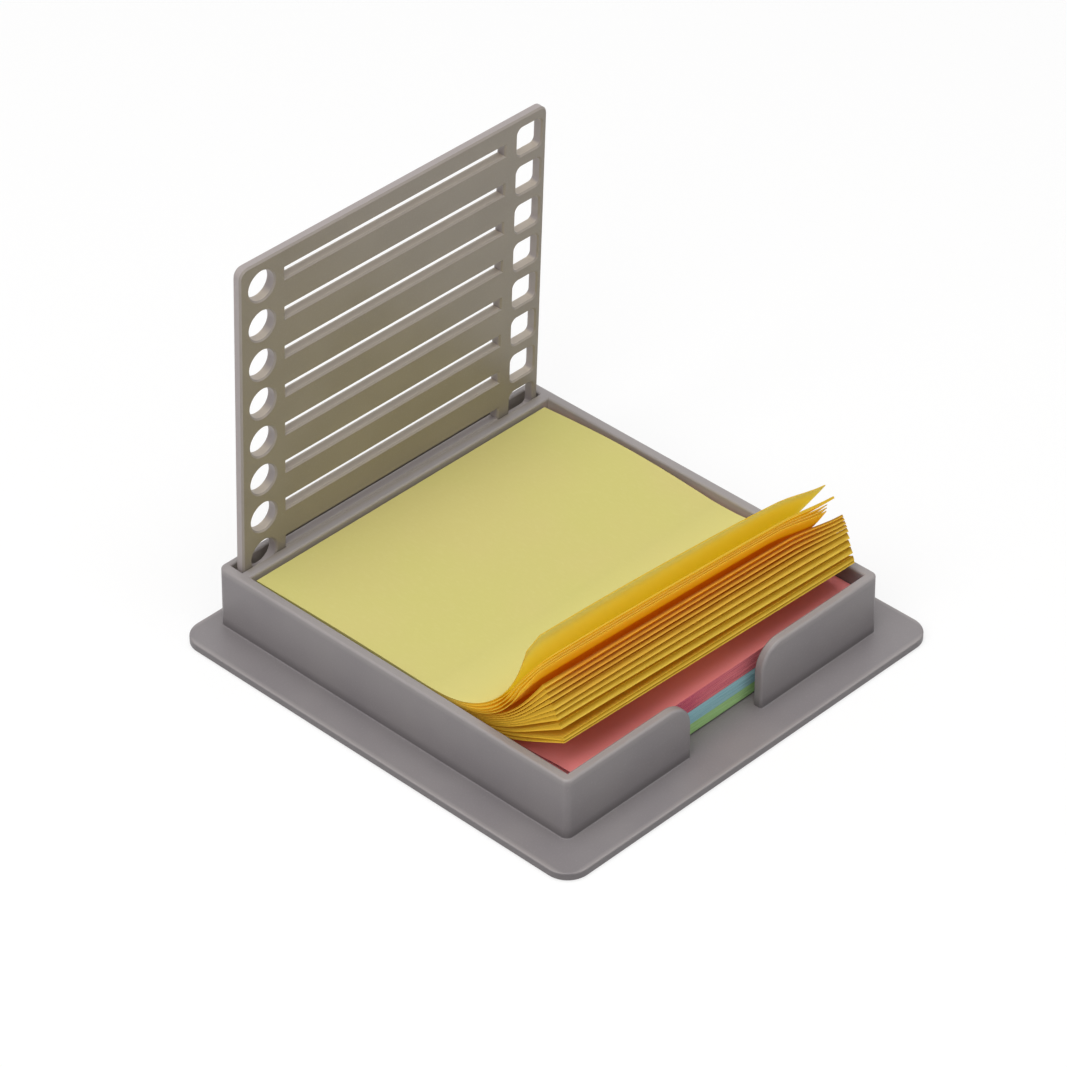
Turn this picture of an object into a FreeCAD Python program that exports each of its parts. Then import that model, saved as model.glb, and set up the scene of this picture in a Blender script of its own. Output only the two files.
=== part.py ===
import FreeCAD, Part
import math
import os

# Desk memo pad tray with a stencil plate, in millimetres.
# Origin: centre of the base plate's underside. +X right, +Y to the back, +Z up.

# base plate
base_width = 98.6
base_depth = 100.3
base_thickness = 1.8
base_corner_radius = 4.8
base_top_rounding = 0.3
base_bottom_chamfer = 0.3

# walled box on the base plate
box_width = 83.2
box_front = -42.45
box_back = 46.9
box_top = 15.0
box_corner_radius = 1.4
box_draft = 0.15
side_wall = 2.05
front_wall = 1.95
rounding = 0.5
foot_fillet = 0.2

# pad well and plate slot behind it
well_back = 40.3
slot_front = 42.5
slot_back = 45.55
cut_clearance = 5.0

# thumb notch in the front wall
notch_width = 19.0
notch_corner_radius = 5.5

# stencil plate, drawn upright and then leaned forward in its slot
plate_width = 78.1
plate_height = 80.65
plate_thickness = 2.0
plate_corner_radius = 2.0
plate_foot_radius = 0.8
plate_rim_chamfer = 0.35
plate_lean = 2.24
plate_front_at_floor = 43.03
plate_centre_x = -0.2
plate_seat_gap = 0.01
row_count = 8
row_pitch = 8.7
top_row_below_edge = 5.4
round_hole_column = -33.7
round_hole_radius = 3.1
square_hole_column = 34.5
square_hole_width = 6.35
square_hole_height = 6.1
square_hole_radius = 1.2
line_slot_length = 56.0
line_slot_height = 2.35
hole_rim_chamfer = 0.3

# the three solid pads, lowest first
pad_width = 76.0
pad_front = -38.5
pad_back = 39.9
pad_corner_radius = 0.4
pad_centre_x = 1.35
pad_gap = 0.02
pad_heights = {"green_pad": 2.65, "blue_pad": 3.15, "pink_pad": 3.7}

# yellow pad: leaves glued along the back edge, their fronts curled up by a thumb
leaf_count = 15
leaf_pitch = 0.18
leaf_thickness = 0.14
leaf_width = 76.6
leaf_length = 80.0
leaf_back = 39.65
leaf_centre_x = -0.1
leaf_flat_run = 50.0
lowest_leaf_radius = 46.0
lowest_leaf_angle = 27.5
highest_leaf_radius = 19.0
highest_leaf_angle = 65.0

vec = FreeCAD.Vector
up = vec(0, 0, 1)
tiny = 1e-3


def rounded_outline(x0, y0, x1, y1, radius, z):
    """Closed rectangle outline with four corner arcs, in the plane at height z."""
    turn = radius * (1 - math.sqrt(0.5))
    corners = [
        (vec(x1 - radius, y0, z), vec(x1 - turn, y0 + turn, z), vec(x1, y0 + radius, z)),
        (vec(x1, y1 - radius, z), vec(x1 - turn, y1 - turn, z), vec(x1 - radius, y1, z)),
        (vec(x0 + radius, y1, z), vec(x0 + turn, y1 - turn, z), vec(x0, y1 - radius, z)),
        (vec(x0, y0 + radius, z), vec(x0 + turn, y0 + turn, z), vec(x0 + radius, y0, z)),
    ]
    edges = []
    for index, corner in enumerate(corners):
        following = corners[(index + 1) % len(corners)]
        edges.append(Part.Arc(*corner).toShape())
        edges.append(Part.LineSegment(corner[2], following[0]).toShape())
    return Part.Wire(edges)


def rounded_block(x0, y0, x1, y1, radius, z0, z1):
    """Upright block with rounded corners."""
    face = Part.Face(rounded_outline(x0, y0, x1, y1, radius, z0))
    return face.extrude(up * (z1 - z0))


def edges_at_height(shape, z):
    """All edges that lie wholly in the horizontal plane at height z."""
    boxed = [(edge, edge.BoundBox) for edge in shape.Edges]
    return [edge for edge, box in boxed if abs(box.ZMin - z) < tiny and abs(box.ZMax - z) < tiny]


def make_base_plate():
    """Flat base plate with softened edges."""
    half_x = base_width / 2
    half_y = base_depth / 2
    plate = rounded_block(-half_x, -half_y, half_x, half_y, base_corner_radius, 0, base_thickness)
    plate = plate.makeFillet(base_top_rounding, edges_at_height(plate, base_thickness))
    return plate.makeChamfer(base_bottom_chamfer, edges_at_height(plate, 0))


def make_box_body():
    """Outside of the walled box, tapering a little towards its top for release from the mould."""
    half_x = box_width / 2
    outlines = []
    for z, grow in ((base_thickness / 2, box_draft), (box_top, 0)):
        outlines.append(
            rounded_outline(-half_x - grow, box_front - grow, half_x + grow, box_back + grow, box_corner_radius, z)
        )
    return Part.makeLoft(outlines, True, True)


def make_notch_cutter():
    """Straight-sided thumb notch whose upper wall corners are rounded over."""
    half = notch_width / 2
    radius = notch_corner_radius
    turn = radius * (1 - math.sqrt(0.5))
    y = box_front - cut_clearance
    arc_foot = box_top - radius
    over = box_top + cut_clearance
    points = [
        vec(-half, y, base_thickness),
        vec(half, y, base_thickness),
        vec(half, y, arc_foot),
        vec(half + radius, y, box_top),
        vec(half + radius, y, over),
        vec(-half - radius, y, over),
        vec(-half - radius, y, box_top),
        vec(-half, y, arc_foot),
    ]
    rounded_over = {2: vec(half + turn, y, box_top - turn), 6: vec(-half - turn, y, box_top - turn)}
    edges = []
    for index, point in enumerate(points):
        following = points[(index + 1) % len(points)]
        if index in rounded_over:
            edges.append(Part.Arc(point, rounded_over[index], following).toShape())
        else:
            edges.append(Part.LineSegment(point, following).toShape())
    face = Part.Face(Part.Wire(edges))
    return face.extrude(vec(0, cut_clearance * 2, 0))


def tray_edges_to_round(tray):
    """Rims of the walls, and the notch's edges on both faces of the front wall."""
    reach = notch_width / 2 + notch_corner_radius + tiny
    outer_face = box_front - box_draft - tiny
    inner_face = box_front + front_wall + tiny
    picked = edges_at_height(tray, box_top)
    for edge in tray.Edges:
        box = edge.BoundBox
        in_front_wall = box.YMin > outer_face and box.YMax < inner_face
        along_a_face = box.YLength < box_draft + tiny
        in_notch = box.XMax < reach and box.XMin > -reach
        rises = box.ZLength > foot_fillet + tiny and box.ZMin > base_thickness - tiny
        if in_front_wall and along_a_face and in_notch and rises:
            picked.append(edge)
    return picked


def foot_edges(tray):
    """Outline where the box stands on the base plate."""
    half = box_width / 2
    picked = []
    for edge in edges_at_height(tray, base_thickness):
        box = edge.BoundBox
        on_box_x = max(box.XMax, -box.XMin) < half + foot_fillet
        on_box_y = box.YMin > box_front - foot_fillet and box.YMax < box_back + foot_fillet
        on_side = max(box.XMax, -box.XMin) > half
        on_end = box.YMax < box_front or box.YMin > box_back
        if on_box_x and on_box_y and (on_side or on_end):
            picked.append(edge)
    return picked


def make_tray():
    """Base plate, walls, pad well, plate slot and thumb notch in one moulding."""
    inside = box_width - side_wall * 2
    height = box_top + cut_clearance - base_thickness
    well_front = box_front + front_wall
    tray = make_base_plate().fuse(make_box_body())
    for front, back in ((well_front, well_back), (slot_front, slot_back)):
        tray = tray.cut(Part.makeBox(inside, back - front, height, vec(-inside / 2, front, base_thickness)))
    tray = tray.cut(make_notch_cutter()).removeSplitter()
    tray = tray.makeFillet(foot_fillet, foot_edges(tray))
    return tray.makeFillet(rounding, tray_edges_to_round(tray))


def stand_up(shape):
    """Turn a shape drawn flat in XY, its foot at y = 0, to stand in XZ with its face to the front."""
    standing = shape.copy()
    standing.rotate(vec(0, 0, 0), vec(1, 0, 0), 90)
    return standing


def row_height(row):
    """Height of a row's centre above the plate's foot, counted from the top row."""
    return plate_height - top_row_below_edge - row * row_pitch


def plate_cutters():
    """A round hole, a long line slot and a rounded square hole in each row."""
    depth = plate_thickness + 2 * cut_clearance
    low = -cut_clearance
    cutters = []
    for row in range(row_count):
        middle = row_height(row)
        disc = Part.makeCylinder(round_hole_radius, depth, vec(round_hole_column, middle, low), up)
        square = rounded_block(
            square_hole_column - square_hole_width / 2,
            middle - square_hole_height / 2,
            square_hole_column + square_hole_width / 2,
            middle + square_hole_height / 2,
            square_hole_radius,
            low,
            low + depth,
        )
        line = Part.makeBox(
            line_slot_length, line_slot_height, depth, vec(-line_slot_length / 2, middle - line_slot_height / 2, low)
        )
        cutters.extend([disc, square, line])
    return cutters


def plate_blank():
    """Solid plate drawn flat, with larger corners at its head than at its foot and a softened outline."""
    half = plate_width / 2
    middle = plate_height / 2
    corners = plate_corner_radius + plate_foot_radius
    foot = rounded_block(-half, 0, half, middle + corners, plate_foot_radius, 0, plate_thickness)
    head = rounded_block(-half, middle - corners, half, plate_height, plate_corner_radius, 0, plate_thickness)
    waist = Part.makeBox(plate_width, corners * 2, plate_thickness, vec(-half, middle - corners, 0))
    blank = foot.fuse([head, waist]).removeSplitter()
    outline = edges_at_height(blank, 0) + edges_at_height(blank, plate_thickness)
    return blank.makeChamfer(plate_rim_chamfer, outline)


def hole_rims(plate):
    """Edges of the holes on the front face of the flat plate."""
    reach = square_hole_column + square_hole_width / 2 + tiny
    below_head = plate_height - plate_corner_radius
    picked = []
    for edge in edges_at_height(plate, plate_thickness):
        box = edge.BoundBox
        if box.XMax < reach and box.XMin > -reach and box.YMax < below_head:
            picked.append(edge)
    return picked


def make_stencil_plate():
    """Perforated plate with every rim softened, leaned forward in the slot behind the pads."""
    plate = plate_blank().cut(plate_cutters())
    plate = stand_up(plate.makeChamfer(hole_rim_chamfer, hole_rims(plate)))
    plate.translate(vec(0, plate_thickness, 0))
    plate.rotate(vec(0, 0, 0), vec(1, 0, 0), plate_lean)
    plate.translate(vec(plate_centre_x, plate_front_at_floor, base_thickness + plate_seat_gap))
    return plate


def make_pads():
    """Three plain pads stacked in the well, each with the height it starts from."""
    pads = {}
    low = base_thickness + pad_gap
    x0 = pad_centre_x - pad_width / 2
    for name, height in pad_heights.items():
        pads[name] = rounded_block(
            x0, pad_front, x0 + pad_width, pad_back, pad_corner_radius, low, low + height - pad_gap
        )
        low += height
    return pads, low


def leaf_curl(index):
    """Curl radius and end angle of a leaf, tighter and steeper from the lowest leaf to the highest."""
    share = index / (leaf_count - 1)
    tightness = (1 - share) / lowest_leaf_radius + share / highest_leaf_radius
    angle = lowest_leaf_angle + share * (highest_leaf_angle - lowest_leaf_angle)
    return 1 / tightness, math.radians(angle)


def leaf_side(z, radius, angle, side):
    """Points of one face of a leaf: back edge, end of the flat run, mid arc, end of arc, free edge."""
    offset = side * leaf_thickness / 2
    run_end = leaf_back - leaf_flat_run
    tail = leaf_length - leaf_flat_run - radius * angle
    reach = radius - offset
    arc = []
    for turn in (angle / 2, angle):
        arc.append(vec(0, run_end - reach * math.sin(turn), z + radius - reach * math.cos(turn)))
    tip = arc[1] + vec(0, -tail * math.cos(angle), tail * math.sin(angle))
    return [vec(0, leaf_back, z + offset), vec(0, run_end, z + offset), arc[0], arc[1], tip]


def make_leaf(index, floor):
    """One sheet: flat from the glued back edge, then an upward curl with a straight end."""
    z = floor + leaf_pitch * index + leaf_pitch / 2
    radius, angle = leaf_curl(index)
    below = leaf_side(z, radius, angle, -1)
    above = leaf_side(z, radius, angle, 1)
    edges = [
        Part.LineSegment(below[0], below[1]).toShape(),
        Part.Arc(below[1], below[2], below[3]).toShape(),
        Part.LineSegment(below[3], below[4]).toShape(),
        Part.LineSegment(below[4], above[4]).toShape(),
        Part.LineSegment(above[4], above[3]).toShape(),
        Part.Arc(above[3], above[2], above[1]).toShape(),
        Part.LineSegment(above[1], above[0]).toShape(),
        Part.LineSegment(above[0], below[0]).toShape(),
    ]
    face = Part.Face(Part.Wire(edges))
    face.translate(vec(leaf_centre_x - leaf_width / 2, 0, 0))
    return face.extrude(vec(leaf_width, 0, 0))


def main():
    os.makedirs("parts", exist_ok=True)
    nodes = {"tray": make_tray(), "stencil_plate": make_stencil_plate()}
    pads, pads_top = make_pads()
    nodes.update(pads)
    for index in range(leaf_count):
        nodes["yellow_leaf_%02d" % (index + 1)] = make_leaf(index, pads_top)
    for name, shape in nodes.items():
        shape.exportStep("parts/%s.step" % name)
        box = shape.BoundBox
        print(
            "%-16s valid %s solids %d volume %.1f x %.2f..%.2f y %.2f..%.2f z %.2f..%.2f"
            % (
                name, shape.isValid(), len(shape.Solids), shape.Volume,
                box.XMin, box.XMax, box.YMin, box.YMax, box.ZMin, box.ZMax,
            )
        )


main()
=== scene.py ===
import bpy
import math
import random
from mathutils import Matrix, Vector


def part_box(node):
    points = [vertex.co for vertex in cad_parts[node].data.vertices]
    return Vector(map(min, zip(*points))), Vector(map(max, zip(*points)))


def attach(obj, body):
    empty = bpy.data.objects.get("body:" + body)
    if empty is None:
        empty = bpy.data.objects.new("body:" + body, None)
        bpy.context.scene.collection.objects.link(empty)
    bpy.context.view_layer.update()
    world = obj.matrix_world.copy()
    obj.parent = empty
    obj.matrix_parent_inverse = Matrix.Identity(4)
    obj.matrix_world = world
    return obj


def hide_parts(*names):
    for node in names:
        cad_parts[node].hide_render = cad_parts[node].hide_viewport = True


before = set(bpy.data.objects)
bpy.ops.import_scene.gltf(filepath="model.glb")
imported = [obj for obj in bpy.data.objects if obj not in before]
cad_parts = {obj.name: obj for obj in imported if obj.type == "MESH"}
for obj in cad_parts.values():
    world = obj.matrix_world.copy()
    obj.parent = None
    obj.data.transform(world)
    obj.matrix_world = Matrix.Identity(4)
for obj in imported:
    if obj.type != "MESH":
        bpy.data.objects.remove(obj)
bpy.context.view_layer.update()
mm = 0.001
scene = bpy.context.scene
print("frame loaded,", len(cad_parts), "nodes")


def paint(red, green, blue):  # a screen colour, 0 to 255, as linear light
    linear = []
    for value in (red, green, blue):
        share = value / 255
        linear.append(share / 12.92 if share <= 0.04045 else ((share + 0.055) / 1.055) ** 2.4)
    return (*linear, 1.0)


def smooth(share):  # 0 to 1 with soft ends
    share = min(max(share, 0.0), 1.0)
    return share * share * (3 - 2 * share)


def between(value, keys):  # straight lines between keys of (value, a, b, ...)
    if value <= keys[0][0]:
        return keys[0][1:]
    for low, high in zip(keys, keys[1:]):
        if value <= high[0]:
            share = (value - low[0]) / (high[0] - low[0])
            return tuple(a + (b - a) * share for a, b in zip(low[1:], high[1:]))
    return keys[-1][1:]


class Wire:  # one socket's output, with the sums that the shaders need
    def __init__(self, finish, socket):
        self.finish = finish
        self.socket = socket

    def sum(self, operation, first, second):
        made = self.finish.node("ShaderNodeMath", {"operation": operation}, {0: first, 1: second})
        return Wire(self.finish, made.outputs[0])

    def __add__(self, other):
        return self.sum("ADD", self, other)

    def __radd__(self, other):
        return self.sum("ADD", other, self)

    def __sub__(self, other):
        return self.sum("SUBTRACT", self, other)

    def __rsub__(self, other):
        return self.sum("SUBTRACT", other, self)

    def __mul__(self, other):
        return self.sum("MULTIPLY", self, other)

    def __rmul__(self, other):
        return self.sum("MULTIPLY", other, self)

    def size(self):
        return self.sum("ABSOLUTE", self, 0)

    def below(self, limit):
        return self.sum("LESS_THAN", self, limit)


class Finish:  # a material, or the world, whose nodes are added one call at a time
    def __init__(self, owner, shader="Principled BSDF", output="Material Output"):
        owner.use_nodes = True
        self.owner = owner
        self.tree = owner.node_tree
        self.shader = self.tree.nodes[shader]
        self.output = self.tree.nodes[output]

    def feed(self, socket, value):
        if isinstance(value, Wire):
            self.tree.links.new(value.socket, socket)
        else:
            socket.default_value = value

    def node(self, kind, settings, values):
        made = self.tree.nodes.new(kind)
        for name, value in settings.items():
            if name == "stops":
                ramp = made.color_ramp.elements
                while len(ramp) < len(value):
                    ramp.new(0.5)
                for stop, (place, colour) in zip(ramp, value):
                    stop.position = place
                    stop.color = colour
            else:
                setattr(made, name, value)
        for name, value in values.items():
            self.feed(made.inputs[name], value)
        return made

    def place(self):
        return Wire(self, self.node("ShaderNodeTexCoord", {}, {}).outputs["Object"])

    def grain(self, size, detail, stretch=(1, 1, 1), shift=(0, 0, 0)):  # noise with that feature size
        mapping = self.node("ShaderNodeMapping", {}, {
            "Vector": self.place(),
            "Scale": tuple(part / size for part in stretch),
            "Location": shift,
        })
        place = Wire(self, mapping.outputs[0])
        noise = self.node("ShaderNodeTexNoise", {}, {"Vector": place, "Scale": 1.0, "Detail": detail})
        return Wire(self, noise.outputs["Fac"])

    def rays(self, *kinds):  # 1 for light paths of these kinds
        path = self.node("ShaderNodeLightPath", {}, {})
        total = Wire(self, path.outputs[kinds[0]])
        for kind in kinds[1:]:
            total = total + Wire(self, path.outputs[kind])
        return total

    def parts(self, kind):  # x, y and z of a place, a normal or a UV point
        whole = Wire(self, self.node("ShaderNodeTexCoord", {}, {}).outputs[kind])
        apart = self.node("ShaderNodeSeparateXYZ", {}, {"Vector": whole})
        return [Wire(self, output) for output in apart.outputs]

    def curl(self):  # 0 on a leaf's flat part, 1 where it curls
        return self.ramp(1 - self.parts("UV")[1], *paperLook["curlSpan"])

    def carried(self, name):  # a number that the piece's points carry
        return Wire(self, self.node("ShaderNodeAttribute", {"attribute_name": name}, {}).outputs["Fac"])

    def ramp(self, factor, low, high):
        stops = [(low, (0, 0, 0, 1)), (high, (1, 1, 1, 1))]
        made = self.node("ShaderNodeValToRGB", {"stops": stops}, {"Fac": factor})
        return Wire(self, made.outputs["Color"])

    def rise(self, value, low, high):  # 0 up to low, 1 from high on, in millimetres
        return self.ramp((value - low * mm) * (1 / (high * mm - low * mm)), 0, 1)

    def mix(self, factor, first, second):
        made = self.node("ShaderNodeMix", {"data_type": "RGBA"}, {0: factor, 6: first, 7: second})
        return Wire(self, made.outputs[2])

    def bump(self, height, distance, strength):
        values = {"Height": height, "Distance": distance, "Strength": strength}
        return Wire(self, self.node("ShaderNodeBump", {}, values).outputs[0])

    def set(self, values):
        for name, value in values.items():
            self.feed(self.shader.inputs[name], value)

    def blend(self, factor, other):  # shows so much of another shader
        mixed = self.node("ShaderNodeMixShader", {}, {
            0: factor,
            1: Wire(self, self.shader.outputs[0]),
            2: Wire(self, other.outputs[0]),
        })
        self.feed(self.output.inputs["Surface"], Wire(self, mixed.outputs[0]))


mouldedLook = {
    "mottle": 14 * mm,
    "speck": 0.35 * mm,
    "grain": 0.22 * mm,
    "grainHeight": 0.012 * mm,
    # painted shade at the foot of the walls and on the base's sides
    "paintedFootShade": paint(96, 91, 93),
    # painted highlight on the wall tops and the base's top edge
    "rim": paint(158, 152, 151),
    # painted light on the plate's faces that don't face front or back
    "side": paint(166, 157, 157),
    # painted bounce light: inner wall faces made paler where the pads would light them
    "inside": paint(182, 174, 166),
    # painted light on the slots' upward lips, which the slot shades
    "paintedLedgeLight": paint(202, 190, 174),
    "paintedShadeBesidePlate": paint(138, 130, 120),  # painted shade on the inner wall's top next to the plate
    "shares": {"paintedFootShade": 0.7, "rim": 0.75, "beside": 0.9, "side": 0.8, "paintedLedgeLight": 0.8, "lighter": 0.35},
    "inward": -10 * mm,  # distance from the middle, negative where a wall faces inwards
    # millimetres over which a colour comes in or goes out
    "insideFrom": (10, 12),
    "openFrom": (-32.5, -22.5),  # in front of this the curled leaves shade the inner walls
    "footShadeBelow": (2.2, 4),
    "rimFrom": (13.4, 14.9),
    "borderAcross": (48.25, 49.1),
    "borderAlong": (49.1, 49.95),
    "besideFrom": (41, 42),
    "besideTo": (43, 43.5),
    "besideAcross": (38.5, 39),
    "ledgeFrom": (19, 20),
    "ledgeTo": (77, 78),
    "ledgeFacing": (0.6, 0.9),  # how far up a lip's normal points
    "clouds": (0.36, 0.62),
    "specks": (0.55, 0.75),
    "uneven": 0.06,  # how far each of the two grains moves the roughness
    "speckHeight": 0.4,  # beside the fine grain's
    "relief": 0.6,
    "refraction": 1.49,
}


def trayEdges(finish, body):  # painted highlights on the wall tops and the base's top edge, painted shade at the wall feet, on the base's sides and beside the plate, and painted bounce light on the inner walls
    look, shares = mouldedLook, mouldedLook["shares"]
    x, y, z = finish.parts("Object")
    facingX, facingY, facingZ = finish.parts("Normal")
    upright = 1 - facingZ.size()
    # painted bounce light on the inward faces of the walls' upper part
    inward = (x * facingX + y * facingY).below(look["inward"]) * finish.rise(z, *look["insideFrom"])
    inward = inward * finish.rise(y, *look["openFrom"])
    body = finish.mix(inward * upright, body, look["inside"])
    # painted shade: upright faces darker near the desk
    low = 1 - finish.rise(z, *look["footShadeBelow"])
    body = finish.mix(upright * low * shares["paintedFootShade"], body, look["paintedFootShade"])
    # painted highlight: paler wall tops and base top edge
    border = finish.rise(x.size(), *look["borderAcross"]) + finish.rise(y.size(), *look["borderAlong"])
    high = finish.rise(z, *look["rimFrom"])
    rim = high + border * (1 - upright) * low
    body = finish.mix(rim * shares["rim"], body, look["rim"])
    # painted shade on the inner wall's top next to the plate
    beside = finish.rise(y, *look["besideFrom"]) * (1 - finish.rise(y, *look["besideTo"]))
    beside = beside * (1 - finish.rise(x.size(), *look["besideAcross"])) * high
    return finish.mix(beside * shares["beside"], body, look["paintedShadeBesidePlate"])


def plateEdges(finish, body):  # painted light: the thin sides, hole rims and the slots' upward lower lips made paler
    look, shares = mouldedLook, mouldedLook["shares"]
    facingX, facingY, facingZ = finish.parts("Normal")
    # painted light: sides, rims and slot walls paler
    body = finish.mix((1 - facingY.size()) * shares["side"], body, look["side"])
    # painted light on the upward lips of the slot rows
    z = finish.parts("Object")[2]
    rows = finish.rise(z, *look["ledgeFrom"]) * (1 - finish.rise(z, *look["ledgeTo"]))
    paintedLedgeLight = finish.ramp(facingZ, *look["ledgeFacing"]) * rows
    return finish.mix(paintedLedgeLight * shares["paintedLedgeLight"], body, look["paintedLedgeLight"])


def mouldedPlastic(name, look):  # satin, spark-eroded moulding
    finish = Finish(bpy.data.materials.new(name))
    mottle = finish.grain(mouldedLook["mottle"], 3, shift=look["shift"])
    speck = finish.grain(mouldedLook["speck"], 2)
    cloud = finish.mix(finish.ramp(mottle, *mouldedLook["clouds"]), look["darker"], look["colour"])
    light = finish.ramp(speck, *mouldedLook["specks"]) * mouldedLook["shares"]["lighter"]
    body = finish.mix(light, cloud, look["lighter"])
    texture = finish.grain(mouldedLook["grain"], 2) + speck * mouldedLook["speckHeight"]
    finish.set({
        "Base Color": look["edges"](finish, body),
        "Roughness": look["roughness"] + mottle * mouldedLook["uneven"] + speck * mouldedLook["uneven"],
        "IOR": mouldedLook["refraction"],
        "Normal": finish.bump(texture, mouldedLook["grainHeight"], mouldedLook["relief"]),
    })
    return finish.owner


paperLook = {
    "cloud": 22 * mm,
    "fibre": 0.5 * mm,
    "tooth": 0.12 * mm,
    "toothHeight": 0.006 * mm,
    "threadHeight": 0.6,  # beside the tooth's
    "relief": 0.5,
    "threadStretch": (1, 0.35, 1),
    "pages": 0.1 * mm,
    "pageStretch": (0.01, 1, 1),
    "curlSpan": (0.56, 0.74),  # where along a leaf its colour turns to the curl's painted light
    "clouds": (0.38, 0.64),
    "threads": (0.5, 0.8),
    "pageLines": (0.45, 0.62),
    "pageGaps": (0.45, 0.7),  # on a cluster's cut edge
    "pageLight": (1.25, 0.5),  # how much of the foot's colour shows, and how much less in the gaps
    "leftFacing": -0.5,
    "shares": {"cloudy": 0.8, "fibre": 0.25, "pages": 0.6, "aside": 0.3},
    "roughness": 0.78,
    "uneven": 0.12,
    "refraction": 1.42,
    "specular": 0.3,
}


def cutEdges(finish, look):  # a cluster's cut edge with painted light and shade: clear at its foot, painted shade browner towards its top
    rank = finish.carried("rank")
    foot = finish.mix(rank, look["footLow"], look["footHigh"])
    top = finish.mix(rank, look["topLow"], look["topHigh"])
    pages = finish.grain(paperLook["pages"], 1, stretch=paperLook["pageStretch"])
    aside = finish.parts("Normal")[0].below(paperLook["leftFacing"])  # painted light on edges that face the light
    foot = finish.mix(aside, foot, look["aside"])
    height = 1 - finish.ramp(finish.carried("foot"), *look["depth"])
    depth = 1 - height * (1 - aside * paperLook["shares"]["aside"])
    light, less = paperLook["pageLight"]
    return finish.mix(depth * (light - finish.ramp(pages, *paperLook["pageGaps"]) * less), top, foot)


def curledColour(finish, look, kind):  # painted light and shade of the curled part: may change up the pad, and near the free edge
    colour = look[kind]
    if kind + "High" in look:
        colour = finish.mix(finish.carried("rank"), colour, look[kind + "High"])
    if kind + "Edge" in look:
        edge = finish.ramp(1 - finish.parts("UV")[1], *look["edgeSpan"])
        colour = finish.mix(edge, colour, look[kind + "Edge"])
    return colour


def stickyPaper(name, look):  # dyed paper, with light coming through it, and a painted glow and painted light where it curls
    finish = Finish(bpy.data.materials.new(name))
    shares = paperLook["shares"]
    cloud = finish.ramp(finish.grain(paperLook["cloud"], 2), *paperLook["clouds"])
    threads = finish.grain(paperLook["fibre"], 3, stretch=paperLook["threadStretch"])
    face = finish.mix(cloud * shares["cloudy"], look["colour"], look["cloudy"])
    fibres = finish.ramp(threads, *paperLook["threads"]) * shares["fibre"]
    face = finish.mix(fibres, face, look["fibre"])
    share = look["share"]
    if "curled" in look:
        # painted light and shade where the leaf curls
        curl = finish.curl()
        face = finish.mix(curl, face, curledColour(finish, look, "curled"))
        share = curl * (look["curledShare"] - share) + share
        # painted glow: an emission where the leaf curls, for light through and between the sheets
        ember = finish.mix(curl, (0, 0, 0, 1), curledColour(finish, look, "ember"))
        finish.set({"Emission Color": ember, "Emission Strength": 1.0})
    if "pages" in look:
        pages = finish.grain(paperLook["pages"], 1, stretch=paperLook["pageStretch"])
        lines = finish.ramp(pages, *paperLook["pageLines"]) * shares["pages"]
        face = finish.mix(lines, face, look["pages"])
    if "footLow" in look:
        face = cutEdges(finish, look)
    tooth = finish.grain(paperLook["tooth"], 2) + threads * paperLook["threadHeight"]
    relief = finish.bump(tooth, paperLook["toothHeight"], paperLook["relief"])
    finish.set({
        "Base Color": face,
        "Roughness": paperLook["roughness"] + threads * paperLook["uneven"],
        "IOR": paperLook["refraction"],
        "Specular IOR Level": paperLook["specular"],
        "Normal": relief,
    })
    values = {"Color": look["glow"], "Normal": relief}
    finish.blend(share, finish.node("ShaderNodeBsdfTranslucent", {}, values))
    return finish.owner


trayPlastic = mouldedPlastic("trayPlastic", {
    "colour": paint(134, 129, 130),
    "lighter": paint(147, 142, 143),
    "darker": paint(129, 124, 126),
    "roughness": 0.36,
    "shift": (0, 0, 0),
    "edges": trayEdges,
})
platePlastic = mouldedPlastic("platePlastic", {
    "colour": paint(147, 139, 129),
    "lighter": paint(160, 152, 144),
    "darker": paint(142, 134, 124),
    "roughness": 0.32,
    "shift": (0.3, 0.1, 0.7),
    "edges": plateEdges,
})
# the yellow finishes are lit and shaded copies of one paper: their curled colours and glows are painted
# light and shade beside the paper's own yellow
yellowFlat = {
    "colour": paint(214, 207, 128),
    "cloudy": paint(216, 205, 132),
    "fibre": paint(224, 217, 148),
    "glow": paint(255, 214, 56),
    "share": 0.1,
    "curledShare": 0.45,
    "ember": paint(56, 26, 0),
}
yellowTop = stickyPaper("yellowTop", {
    **yellowFlat,
    "curled": paint(240, 234, 154),
    "glow": paint(255, 240, 110),
    "ember": paint(0, 0, 0),
    "curledShare": 0.3,
})
yellowUnder = stickyPaper("yellowUnder", {
    **yellowFlat,
    "curled": paint(255, 250, 170),
    "curledEdge": paint(230, 222, 150),
    "glow": paint(255, 250, 110),
    "ember": paint(116, 112, 16),
    "emberEdge": paint(92, 96, 50),
    "edgeSpan": (0.955, 0.992),
})
yellowBetween = stickyPaper("yellowBetween", {
    **yellowFlat,
    "curled": paint(255, 240, 140),
    "glow": paint(255, 240, 90),
    "ember": paint(112, 100, 12),
})
yellowDeep = stickyPaper("yellowDeep", {
    **yellowFlat,
    "curled": paint(226, 168, 50),
    "curledEdge": paint(250, 216, 90),
    "ember": paint(66, 24, 0),
    "glow": paint(255, 232, 70),
    "emberEdge": paint(140, 122, 0),
    "edgeSpan": (0.939, 0.95),
})
yellowRim = stickyPaper("yellowRim", {
    **yellowFlat, "curled": paint(204, 170, 52), "ember": paint(80, 62, 2), "curledShare": 0.1
})
yellowInside = stickyPaper("yellowInside", {
    **yellowFlat,
    "curled": paint(232, 206, 80),
    "curledHigh": paint(238, 198, 66),
    "glow": paint(252, 218, 60),
    "ember": paint(50, 38, 4),
    "emberHigh": paint(62, 26, 0),
})
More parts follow.
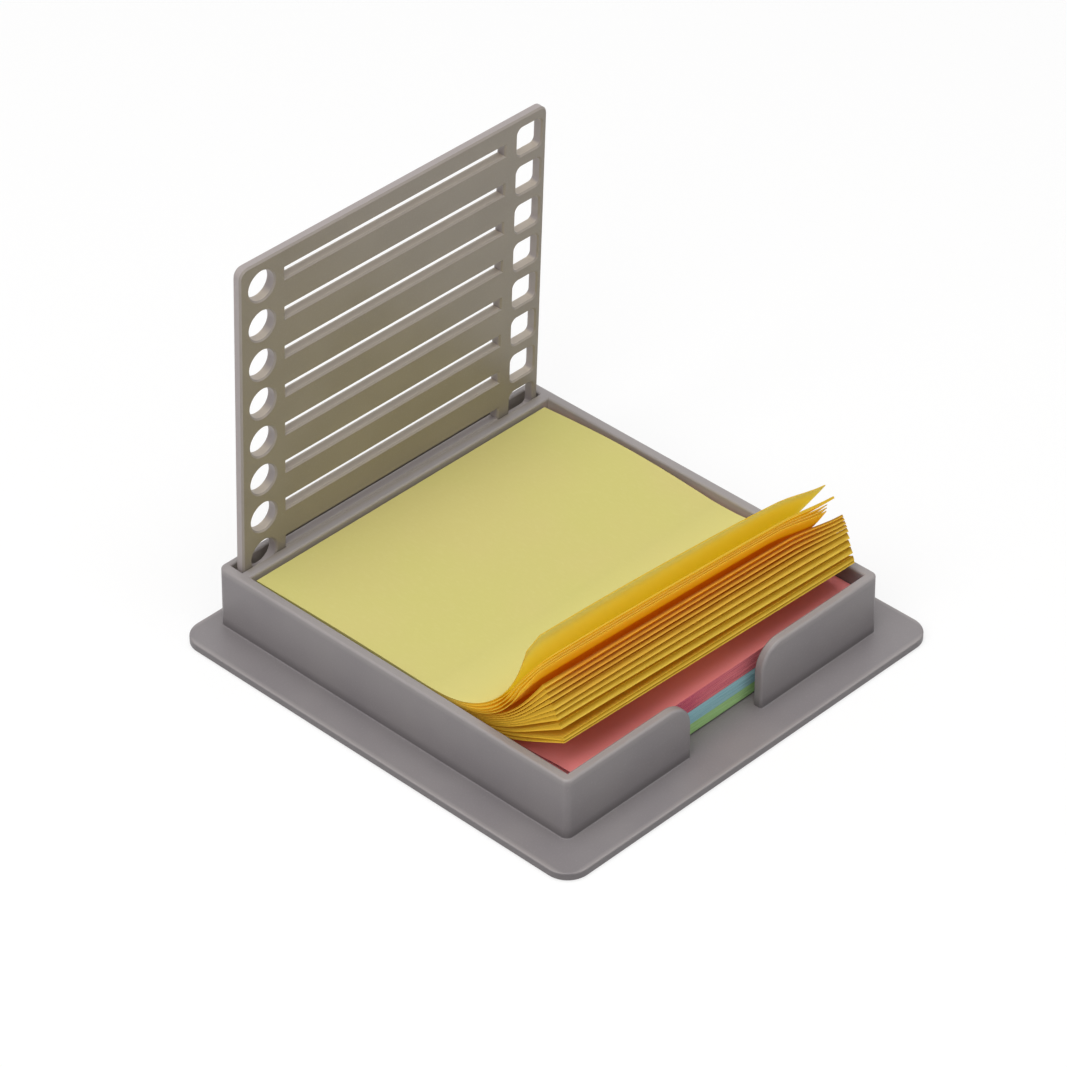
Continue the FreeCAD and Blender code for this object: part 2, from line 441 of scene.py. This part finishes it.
# painted light and shade on the fan's cut edges
yellowEdge = stickyPaper("yellowEdge", {
    **yellowFlat,
    "footLow": paint(240, 206, 78),
    "footHigh": paint(234, 164, 52),
    "topLow": paint(170, 128, 12),
    "topHigh": paint(140, 66, 2),
    "depth": (0.25, 1.0),
    "aside": paint(246, 200, 60),
    "share": 0.15,
})
pinkLook = {
    "colour": paint(250, 150, 154),
    "cloudy": paint(252, 152, 154),
    "fibre": paint(252, 168, 172),
    "glow": paint(255, 90, 80),
    "share": 0.12,
}
pinkPaper = stickyPaper("pinkPaper", pinkLook)
pinkEdge = stickyPaper("pinkEdge", {
    **pinkLook,
    "colour": paint(208, 98, 124),
    "pages": paint(182, 70, 100),
})
blueLook = {
    "colour": paint(170, 216, 224),
    "cloudy": paint(172, 216, 220),
    "fibre": paint(182, 224, 230),
    "glow": paint(90, 180, 210),
    "share": 0.1,
}
bluePaper = stickyPaper("bluePaper", blueLook)
blueEdge = stickyPaper("blueEdge", {**blueLook, "pages": paint(130, 184, 198)})
greenLook = {
    "colour": paint(184, 224, 156),
    "cloudy": paint(188, 226, 158),
    "fibre": paint(196, 232, 170),
    "glow": paint(140, 210, 60),
    "share": 0.1,
}
greenPaper = stickyPaper("greenPaper", greenLook)
greenEdge = stickyPaper("greenEdge", {**greenLook, "pages": paint(150, 204, 124)})
print("finishes made")


def dress(piece, material):
    piece.data.materials.clear()
    piece.data.materials.append(material)


def coat(node, material):  # the CAD body's own slots take the finish
    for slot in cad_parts[node].material_slots:
        slot.material = material


coat("tray", trayPlastic)
coat("stencil_plate", platePlastic)


def deselectAll():
    if bpy.context.object and bpy.context.object.mode != "OBJECT":
        bpy.ops.object.mode_set(mode="OBJECT")
    bpy.ops.object.select_all(action="DESELECT")


def only(piece):
    deselectAll()
    piece.select_set(True)
    bpy.context.view_layer.objects.active = piece


def finishModifier(piece, kind, settings):
    only(piece)
    modifier = piece.modifiers.new(kind.title(), kind)
    for name, value in settings.items():
        setattr(modifier, name, value)
    bpy.ops.object.modifier_apply(modifier=modifier.name)


def settle(piece):  # the piece's place goes into its mesh
    only(piece)
    bpy.ops.object.transform_apply(location=True, rotation=True, scale=True)


lowestLeaf = [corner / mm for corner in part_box("yellow_leaf_01")]
nextLeaf = [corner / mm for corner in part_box("yellow_leaf_02")]
yellowLeaf = {
    "width": lowestLeaf[1].x - lowestLeaf[0].x,
    "length": 80.0,
    "back": lowestLeaf[1].y,
    "centreX": (lowestLeaf[1].x + lowestLeaf[0].x) / 2,
    "underside": lowestLeaf[0].z,
    "pitch": nextLeaf[0].z - lowestLeaf[0].z,
    "thickness": 0.14,
    "acrossCuts": 30,
    "alongCuts": 72,
    "softening": 0.3,  # how much longer the bend is than a plain arc
    "turnRange": (0.05, 2.2),  # radians
    "halvings": 34,
    "smoothAngle": 40,  # degrees
    "freeStart": 0.6,  # where along a leaf it is free to bow and hang
    "wave": 0.05,
    "waves": (9, 0.5),  # radians across a leaf, and where they start
    "edgeRise": 0.5,
    "topEdgeRise": 1.0,
    "topSkew": 2.1,
    "dome": (0.3, 1.1),  # how far the uppermost leaf's side edges bow up on its flat part
    "domeLength": 0.55,
    "backSlip": -0.3,  # the pad stands a little askew, its back end nearer the left wall
    "standsApart": 10,  # the first leaf above the fan
    "hiddenSlip": -1.8,  # how far left it and the next two stand
    "cornerRound": {10: 5.0, 11: 5.0, 12: 5.0, 13: 5.0, 14: 2.6},  # the left corners that aren't sharp
    # each leaf's two free corners, left and right, above the desk, lowest leaf first
    "corners": [
        (20.1, 18.1), (20.75, 18.85), (23.05, 20.4), (24.65, 21.75), (25.55, 23.15),
        (26.5, 24.3), (27.5, 25.15), (28.35, 25.95), (29.15, 26.75), (29.95, 27.45),
        (31.95, 29.35), (32.45, 29.9), (32.95, 30.4), (33.45, 30.9), (35.6, 33.1),
    ],
    # each leaf's thickness at its two free corners, where a few sheets lie together
    "endThickness": [
        (0.4, 0.5), (0.6, 0.9), (1.15, 1.3), (1.0, 1.2), (0.85, 1.2),
        (1.15, 0.8), (0.75, 0.55), (0.9, 0.65), (0.75, 0.55), (0.75, 0.45),
        (0.15, 0.15), (0.15, 0.15), (0.15, 0.15), (0.15, 0.45), (0.2, 0.2),
    ],
    "clusterStart": (0.66, 0.78),  # left, right: where along a leaf its sheets begin to part
    "clusterCurve": (2.0, 1.4),
    # leaf, flat run behind the bend, bend radius
    "leftBend": [(0, 52.4, 38.0), (3, 49.0, 31.6), (9, 47.9, 25.9), (10, 47.5, 23.7), (14, 46.8, 19.9)],
    "rightBend": [(0, 52.7, 54.0), (4, 52.5, 34.0), (9, 51.8, 25.0), (10, 50.4, 23.4), (14, 49.0, 18.4)],
    "droop": [(3, 0.0), (9, 1.9), (13, 0.9), (14, 1.5)],  # leaf, and how far its right corner hangs
    "fanSlip": [(3, 0.0), (5, 0.8), (9, 1.5), (10, 0.0)],  # leaf, and how far right that corner stands
    "droopStart": 0.82,
    "rankSpan": (2, 9),  # the leaves over which the cut edges' painted shade turns browner
    "rankEnds": {"left": 0.12, "right": 0.86, "least": 0.3, "fade": 0.7},
}


def bentLine(floor, flat, radius, turn):  # points (back or forth, up) down one side edge
    reach = min(radius * turn, yellowLeaf["length"] - flat)
    extra = reach * yellowLeaf["softening"] / 2
    start, end = flat - extra, min(flat + reach + extra, yellowLeaf["length"])
    step = yellowLeaf["length"] / yellowLeaf["alongCuts"]
    y, z = yellowLeaf["back"], floor
    points = [(y, z)]
    for count in range(yellowLeaf["alongCuts"]):
        angle = turn * smooth(((count + 0.5) * step - start) / (end - start))
        y -= step * math.cos(angle)
        z += step * math.sin(angle)
        points.append((y, z))
    return points


def leafProfile(index, side):
    corner = yellowLeaf["corners"][index][0 if side == "leftBend" else 1]
    flat, radius = between(index, yellowLeaf[side])
    floor = yellowLeaf["underside"] + yellowLeaf["thickness"] / 2 + index * yellowLeaf["pitch"]
    low, high = yellowLeaf["turnRange"]
    for _ in range(yellowLeaf["halvings"]):  # until the end stands at the corner's height
        turn = (low + high) / 2
        points = bentLine(floor, flat, radius, turn)
        if points[-1][1] < corner:
            low = turn
        else:
            high = turn
    return points


def curlPoint(index, across, along, left, right):
    last = len(yellowLeaf["corners"]) - 1
    fromCorner = across * yellowLeaf["width"]
    radius = yellowLeaf["cornerRound"].get(index, 0)
    if fromCorner < radius:
        cut = radius - math.sqrt(radius**2 - (radius - fromCorner) ** 2)
        along *= 1 - cut / yellowLeaf["length"]
    place = along * yellowLeaf["alongCuts"]
    row = min(int(place), yellowLeaf["alongCuts"] - 1)
    sides = []
    for edge in (left, right):
        sides.append([a + (b - a) * (place - row) for a, b in zip(edge[row], edge[row + 1])])
    y = sides[0][0] + (sides[1][0] - sides[0][0]) * across
    z = sides[0][1] + (sides[1][1] - sides[0][1]) * across
    free = smooth((along - yellowLeaf["freeStart"]) / (1 - yellowLeaf["freeStart"]))
    x = yellowLeaf["centreX"] + (across - 0.5) * yellowLeaf["width"]
    x += yellowLeaf["backSlip"] * (1 - along)
    rise = yellowLeaf["topEdgeRise"] if index == last else yellowLeaf["edgeRise"] * index / last
    z += rise * free * math.sin(math.pi * across)
    turns, start = yellowLeaf["waves"]
    z += yellowLeaf["wave"] * free * math.sin(across * turns + start) * index / last
    hang = smooth((across - yellowLeaf["droopStart"]) / (1 - yellowLeaf["droopStart"]))
    z -= between(index, yellowLeaf["droop"])[0] * hang * free
    x += between(index, yellowLeaf["fanSlip"])[0] * hang * free
    bow = math.sin(math.pi * min(along / yellowLeaf["domeLength"], 1))
    dome = yellowLeaf["dome"][0] * (1 - across) ** 2 + yellowLeaf["dome"][1] * across**2
    z += dome * bow * index / last
    if index == last:
        x += yellowLeaf["topSkew"] * free * (1 - across)
    if yellowLeaf["standsApart"] <= index < last - 1:
        x += yellowLeaf["hiddenSlip"] * free
    return Vector((x, y, z)) * mm


def rankEdges(sheet, index):  # what the painted shade of the cut edges and curls goes by
    upper = len(sheet.data.vertices) // 2  # the upper shell's points come first
    foot = sheet.data.attributes.new("foot", "FLOAT", "POINT")
    foot.data.foreach_set("value", [0.0] * upper + [1.0] * upper)
    rank = sheet.data.attributes.new("rank", "FLOAT", "POINT")
    first, last = yellowLeaf["rankSpan"]
    height = smooth((index - first) / (last - first))
    ends = yellowLeaf["rankEnds"]
    for vertex, carried in zip(sheet.data.vertices, rank.data):
        across = (vertex.co.x / mm - lowestLeaf[0].x) / yellowLeaf["width"]
        share = ends["least"] + (1 - ends["least"]) * smooth(across / ends["left"])
        share -= ends["fade"] * smooth((across - ends["right"]) / (1 - ends["right"]))
        carried.value = height * share


def makeLeaf(index):
    name = "leafSheet_%02d" % (index + 1)
    deselectAll()
    cuts = (yellowLeaf["acrossCuts"], yellowLeaf["alongCuts"])
    bpy.ops.mesh.primitive_grid_add(x_subdivisions=cuts[0], y_subdivisions=cuts[1], size=1)
    sheet = bpy.context.object
    sheet.name = name
    left, right = leafProfile(index, "leftBend"), leafProfile(index, "rightBend")
    cluster = sheet.vertex_groups.new(name="cluster")
    ends = yellowLeaf["endThickness"][index]
    for vertex in sheet.data.vertices:
        across, along = vertex.co.x + 0.5, 0.5 - vertex.co.y
        start, curve, end = [a + (b - a) * across for a, b in (
            yellowLeaf["clusterStart"], yellowLeaf["clusterCurve"], ends
        )]
        parting = max((along - start) / (1 - start), 0) ** curve
        share = (end - yellowLeaf["thickness"]) / (max(ends) - yellowLeaf["thickness"])
        cluster.add([vertex.index], min(parting * share, 1), "REPLACE")
        vertex.co = curlPoint(index, across, along, left, right)
    uppermost = index == len(yellowLeaf["corners"]) - 1
    dress(sheet, yellowTop if uppermost else yellowInside)
    above = index - yellowLeaf["standsApart"]
    if uppermost:
        sheet.data.materials.append(yellowUnder)
    elif above > 0:
        sheet.data.materials.append(yellowBetween)
    else:
        sheet.data.materials.append(yellowDeep if above == 0 else yellowInside)
    sheet.data.materials.append(yellowRim if above >= 0 else yellowEdge)
    finishModifier(sheet, "SOLIDIFY", {
        "thickness": max(ends) * mm,
        "offset": 0,
        "vertex_group": "cluster",
        "thickness_vertex_group": yellowLeaf["thickness"] / max(ends),
        "material_offset": 1,
        "material_offset_rim": 2,
    })
    rankEdges(sheet, index)
    only(sheet)
    bpy.ops.object.shade_smooth_by_angle(angle=math.radians(yellowLeaf["smoothAngle"]))
    node = "yellow_leaf_%02d" % (index + 1)
    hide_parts(node)
    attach(sheet, node)
    return sheet


for leafIndex in range(len(yellowLeaf["corners"])):
    makeLeaf(leafIndex)
print("yellow leaves curled")


padStack = {
    "sheets": 26,
    "slip": 0.05,
    "gapShare": 0.07,
    "footSheets": 4,
    "footSetBack": 1.6,
    "topCuts": 24,
    "topFacing": 0.5,  # a normal's height above which a face is paper, and below it a cut edge
    "lift": {"pink_pad": 0.9, "blue_pad": 0.0, "green_pad": 0.0},
    "liftReach": 14.0,
    "seeds": {"green_pad": 3, "blue_pad": 8, "pink_pad": 14},
}


def makePad(node, material, edgeMaterial):
    low, high = [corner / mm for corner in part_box(node)]
    size = high - low
    pitch = size.z / padStack["sheets"]
    sheetHeight = pitch * (1 - padStack["gapShare"])
    deselectAll()
    bpy.ops.mesh.primitive_cube_add(size=1)
    pad = bpy.context.object
    pad.name = node.replace("_pad", "PadSheets")
    bpy.ops.object.mode_set(mode="EDIT")
    bpy.ops.mesh.select_all(action="SELECT")
    bpy.ops.transform.resize(value=(size.x * mm, size.y * mm, sheetHeight * mm))
    bpy.ops.mesh.select_all(action="DESELECT")
    bpy.ops.object.mode_set(mode="OBJECT")
    finishModifier(pad, "ARRAY", {
        "count": padStack["sheets"] - 1,
        "use_relative_offset": False,
        "use_constant_offset": True,
        "constant_offset_displace": (0, 0, pitch * mm),
    })
    centre = (low + high) / 2
    dice = random.Random(padStack["seeds"][node])
    slips = []
    for _ in range(padStack["sheets"]):
        slips.append(Vector((dice.uniform(-1, 1), dice.uniform(-1, 1), 0)) * padStack["slip"])
    floor = low.z + sheetHeight / 2
    for vertex in pad.data.vertices:
        level = round((vertex.co.z / mm) / pitch)
        place = vertex.co / mm + Vector((centre.x, centre.y, floor)) + slips[level]
        if node == "green_pad" and level < padStack["footSheets"] and place.y < centre.y:
            place.y += padStack["footSetBack"]
        vertex.co = place * mm
    topSheet(pad, node, low, high, sheetHeight)
    dress(pad, material)
    pad.data.materials.append(edgeMaterial)
    for polygon in pad.data.polygons:
        polygon.material_index = 1 if abs(polygon.normal.z) < padStack["topFacing"] else 0
    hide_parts(node)
    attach(pad, node)
    return pad


def topSheet(pad, node, low, high, thickness):  # its front left corner is a little raised
    deselectAll()
    cuts = padStack["topCuts"]
    bpy.ops.mesh.primitive_grid_add(x_subdivisions=cuts, y_subdivisions=cuts, size=1)
    sheet = bpy.context.object
    for vertex in sheet.data.vertices:
        x = low.x + (vertex.co.x + 0.5) * (high.x - low.x)
        y = low.y + (vertex.co.y + 0.5) * (high.y - low.y)
        reach = math.hypot(x - low.x, y - low.y) / padStack["liftReach"]
        lift = padStack["lift"][node] * (1 - smooth(reach))
        vertex.co = Vector((x, y, high.z - thickness / 2 + lift)) * mm
    finishModifier(sheet, "SOLIDIFY", {"thickness": thickness * mm, "offset": 0})
    deselectAll()
    sheet.select_set(True)
    pad.select_set(True)
    bpy.context.view_layer.objects.active = pad
    bpy.ops.object.join()


makePad("green_pad", greenPaper, greenEdge)
makePad("blue_pad", bluePaper, blueEdge)
makePad("pink_pad", pinkPaper, pinkEdge)
print("pads stacked")


floorLook = {
    "size": 6.0,
    "height": -0.02 * mm,
    "seen": (1.0, 1.0, 1.0, 1.0),
    "bounce": (0.8, 0.8, 0.8, 1.0),
    "fade": 0.7,  # how much of its shading is left out where it is seen
}


def makeFloor():  # white where it is seen, with a faint shadow
    deselectAll()
    bpy.ops.mesh.primitive_plane_add(size=floorLook["size"], location=(0, 0, floorLook["height"]))
    floor = bpy.context.object
    floor.name = "studioFloor"
    settle(floor)
    finish = Finish(bpy.data.materials.new("whiteFloor"))
    seen = finish.rays("Is Camera Ray", "Is Glossy Ray", "Is Transmission Ray")
    finish.set({
        "Base Color": finish.mix(seen, floorLook["bounce"], floorLook["seen"]),
        "Roughness": 1.0,
        "Specular IOR Level": 0.0,
    })
    values = {"Color": floorLook["seen"], "Strength": 1.0}
    finish.blend(seen * floorLook["fade"], finish.node("ShaderNodeEmission", {}, values))
    dress(floor, finish.owner)


makeFloor()

worldLook = {"colour": (1, 1, 1, 1), "seen": 1.0, "light": 0.32}


def makeWorld():  # white behind the object and in its gloss, dimmer as a light
    world = bpy.data.worlds.new("paleStudio")
    scene.world = world
    finish = Finish(world, "Background", "World Output")
    seen = finish.rays("Is Camera Ray", "Is Glossy Ray")
    light = worldLook["light"]
    finish.set({"Color": worldLook["colour"], "Strength": seen * (worldLook["seen"] - light) + light})


makeWorld()

lamps = {
    "softLeft": {"place": (-0.9, -0.15, 0.9), "size": 0.9, "power": 6.0, "colour": (1.0, 0.985, 0.97)},
    "softTop": {"place": (-0.05, -0.12, 1.5), "size": 1.2, "power": 13.0, "colour": (1.0, 1.0, 1.0)},
    "softFront": {"place": (0.35, -1.1, 0.7), "size": 0.8, "power": 0.4, "colour": (0.97, 0.985, 1.0)},
}


lampAim = Vector((0, 0, 20 * mm))


def makeLamp(name, look):
    deselectAll()
    place = Vector(look["place"])
    aim = lampAim - place
    turn = aim.to_track_quat("-Z", "Y").to_euler()
    bpy.ops.object.light_add(type="AREA", location=place, rotation=turn)
    lamp = bpy.context.object
    lamp.name = name
    lamp.data.size = look["size"]
    lamp.data.energy = look["power"]
    lamp.data.color = look["colour"]


for lampName, lampLook in lamps.items():
    makeLamp(lampName, lampLook)

viewpoint = {
    "place": (-503.219, -480.504, 550.207),
    "elevation": 37.0633,
    "heading": -45.9688,
    "lens": 160.56,
    "sensor": 36.0,
    "nearest": 0.01,
}


def makeCamera():
    deselectAll()
    tilt = (math.radians(90 - viewpoint["elevation"]), 0, math.radians(viewpoint["heading"]))
    bpy.ops.object.camera_add(location=Vector(viewpoint["place"]) * mm, rotation=tilt)
    camera = bpy.context.object
    camera.name = "productCamera"
    camera.data.lens = viewpoint["lens"]
    camera.data.sensor_width = viewpoint["sensor"]
    camera.data.clip_start = viewpoint["nearest"]
    scene.camera = camera


makeCamera()
scene.view_settings.view_transform = "Standard"
print("studio set")
